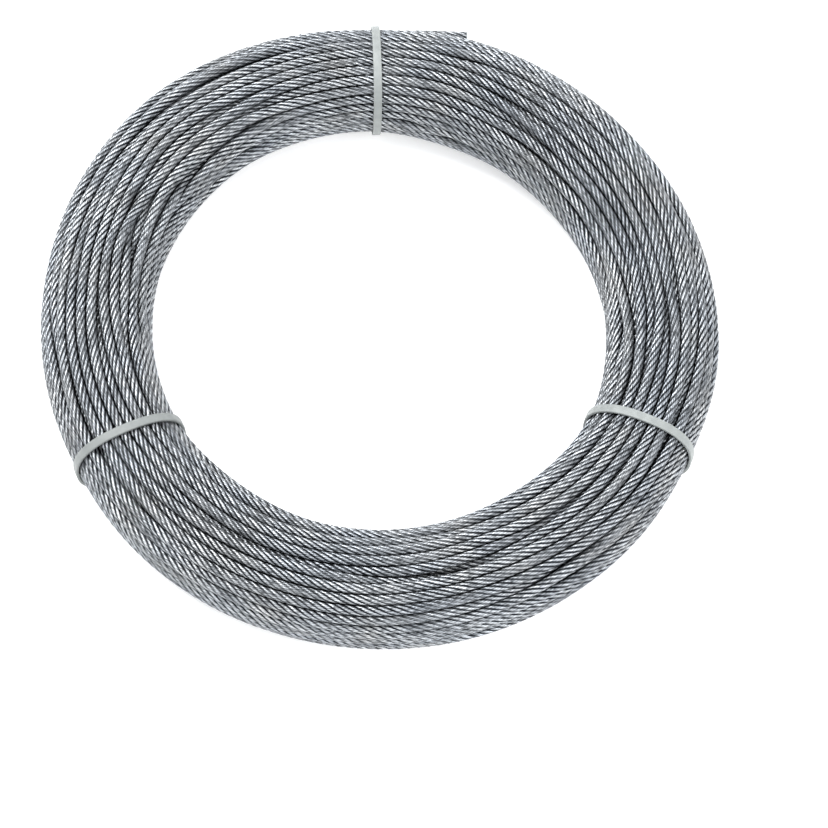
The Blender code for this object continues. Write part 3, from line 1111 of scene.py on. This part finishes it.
def rope_material():
    """Stranded steel under a clear coat: strands and wires with painted shade in their grooves, painted
    shade in the crevices between turns, a painted sheen of the coat's reflection, and slow changes of tone.
    """
    material, tree, shader = new_material("coated_wire_rope", ROPE_SHADER)
    along, turned, number, crest, wire = lay_pattern(tree)
    place = object_place(tree)

    # Painted reflection: a grey sheen of the coat laid over the strands in stretches
    painted_sheen = ramp_node(tree, noise_along(tree, along, *COAT_SHEEN_NOISE), COAT_SHEEN_SHARES)
    colour = mix_colours(tree, painted_sheen, ramp_node(tree, crest, STRAND_TONES_WITH_GROOVE_SHADE), COAT_SHEEN_TONE)
    spread = pair_node(
        tree,
        node_maths(tree, "MULTIPLY", along, SPREAD_ALONG),
        node_maths(tree, "MULTIPLY", number, SPREAD_AROUND),
    )
    unturned = node_maths(tree, "MULTIPLY_ADD", along, 1 / LAY_LENGTH, turned)
    specks = pair_node(
        tree,
        node_maths(tree, "MULTIPLY", along, SPECKS_PER_METRE),
        node_maths(tree, "MULTIPLY", unturned, SPECKS_AROUND),
    )
    speck = noise_node(tree, specks, *SPECK_NOISE)
    # Painted shade: the colour darkens where the rope's skin comes near the next turn
    crevice = tree.nodes.new("ShaderNodeAttribute")
    crevice.attribute_name = "crevice"
    open_share = smooth_step(tree, crevice.outputs["Fac"], CREVICE_DARK, CREVICE_CLEAR)
    crevice_painted_shade = ramp_node(tree, open_share, CREVICE_PAINTED_SHADE_TONES)
    faint = ramp_node(tree, noise_node(tree, place, *FAINT_CREVICE_NOISE), FAINT_CREVICE_PAINTED_SHADE)
    shades = (
        ramp_node(tree, noise_node(tree, spread, *SPREAD_NOISE), SPREAD_TONES),
        ramp_node(tree, noise_along(tree, along, *TURN_NOISE), TURN_TONES),
        # painted shade between the wires
        ramp_node(tree, wire, WIRE_GROOVE_SHADE_TONES),
        ramp_node(tree, noise_node(tree, place, *TINT_NOISE), TINTS),
        ramp_node(tree, speck, SPECK_TONES),
        mix_colours(tree, faint, crevice_painted_shade, WHITE),
    )
    for shade in shades:
        colour = mix_colours(tree, 1.0, colour, shade, "MULTIPLY")
    tree.links.new(colour, shader.inputs["Base Color"])

    height = node_maths(tree, "MULTIPLY", wire, WIRE_RELIEF)
    height = node_maths(tree, "MULTIPLY_ADD", speck, SPECK_RELIEF, height)
    height = node_maths(tree, "MULTIPLY_ADD", crest, STRAND_RELIEF, height)
    add_bump(tree, shader, height, ROPE_BUMP, 1.0)
    return material


def cloudy_material(surface, tone=1.0):
    """A surface whose colour changes softly from place to place, all of it darker by a factor that holds
    the surface's tone and, for a tie, painted shade.
    """
    material, tree, shader = new_material(surface.name, surface.shader)
    cloud = noise_node(tree, object_place(tree), *surface.noise)
    tones = [(share, [tone * part for part in shade]) for share, shade in surface.tones]
    tree.links.new(ramp_node(tree, cloud, tones), shader.inputs["Base Color"])
    return material, tree, shader


def nylon_material(tone):
    """Natural nylon: pale grey-green, slightly see-through, satin, with fine moulded grain."""
    material, tree, shader = cloudy_material(NYLON, tone)
    grain = noise_node(tree, object_place(tree), *NYLON_GRAIN_NOISE)
    add_bump(tree, shader, grain, NYLON_BUMP, NYLON_GRAIN_HEIGHT)
    return material


def build_stage():
    """The white floor, the world's light, the two lamps and the plain view transform."""
    mesh = bpy.data.meshes.new("floor")
    shape = bmesh.new()
    bmesh.ops.create_grid(shape, x_segments=1, y_segments=1, size=FLOOR_HALF_SIZE)
    shape.to_mesh(mesh)
    shape.free()
    mesh.materials.append(new_material("floor", FLOOR_SHADER)[0])
    floor = new_object("floor", mesh)
    floor.location.z = min(0.0, cad_bounds[0][2]) - FLOOR_DROP

    world = bpy.data.worlds.new("studio")
    world.use_nodes = True
    background = world.node_tree.nodes["Background"]
    background.inputs["Color"].default_value = WORLD_COLOUR
    background.inputs["Strength"].default_value = WORLD_STRENGTH
    bpy.context.scene.world = world
    bpy.context.scene.view_settings.view_transform = "Standard"
    for light in LIGHTS:
        data = bpy.data.lights.new(light.name, "AREA")
        data.energy = light.power
        data.size = light.size
        lamp = new_object(light.name, data)
        lamp.location = light.place
        lamp.rotation_euler = (-Vector(light.place)).to_track_quat("-Z", "Y").to_euler()


def build_camera():
    """The photograph's camera: level, turned a little off the coil's centre, with no shift."""
    centre = Vector((0, 0, COIL_CENTRE_HEIGHT))
    backward = Vector((0, -math.cos(CAMERA_ELEVATION), math.sin(CAMERA_ELEVATION)))
    turn_right = math.atan2(PHOTO_SIZE / 2 - COIL_CENTRE_PIXEL[0], FOCAL_PIXELS)
    turn_down = math.atan2(PHOTO_SIZE / 2 - COIL_CENTRE_PIXEL[1], FOCAL_PIXELS)
    data = bpy.data.cameras.new("camera")
    data.sensor_width = SENSOR_WIDTH
    data.lens = FOCAL_PIXELS / PHOTO_SIZE * SENSOR_WIDTH
    camera = new_object("camera", data)
    look = Matrix.Rotation(math.pi / 2 - CAMERA_ELEVATION, 4, "X")
    look = look @ Matrix.Rotation(-turn_right, 4, "Y") @ Matrix.Rotation(-turn_down, 4, "X")
    camera.matrix_world = Matrix.Translation(centre + backward * CAMERA_DISTANCE) @ look
    bpy.context.scene.camera = camera


build_camera()
build_stage()
build_rope()
# Each tie's nylon is darker by its own value; the left tie's value holds painted shade against the stronger
# light on it
for tie in TIES:
    build_tie(tie, nylon_material(tie.tone))
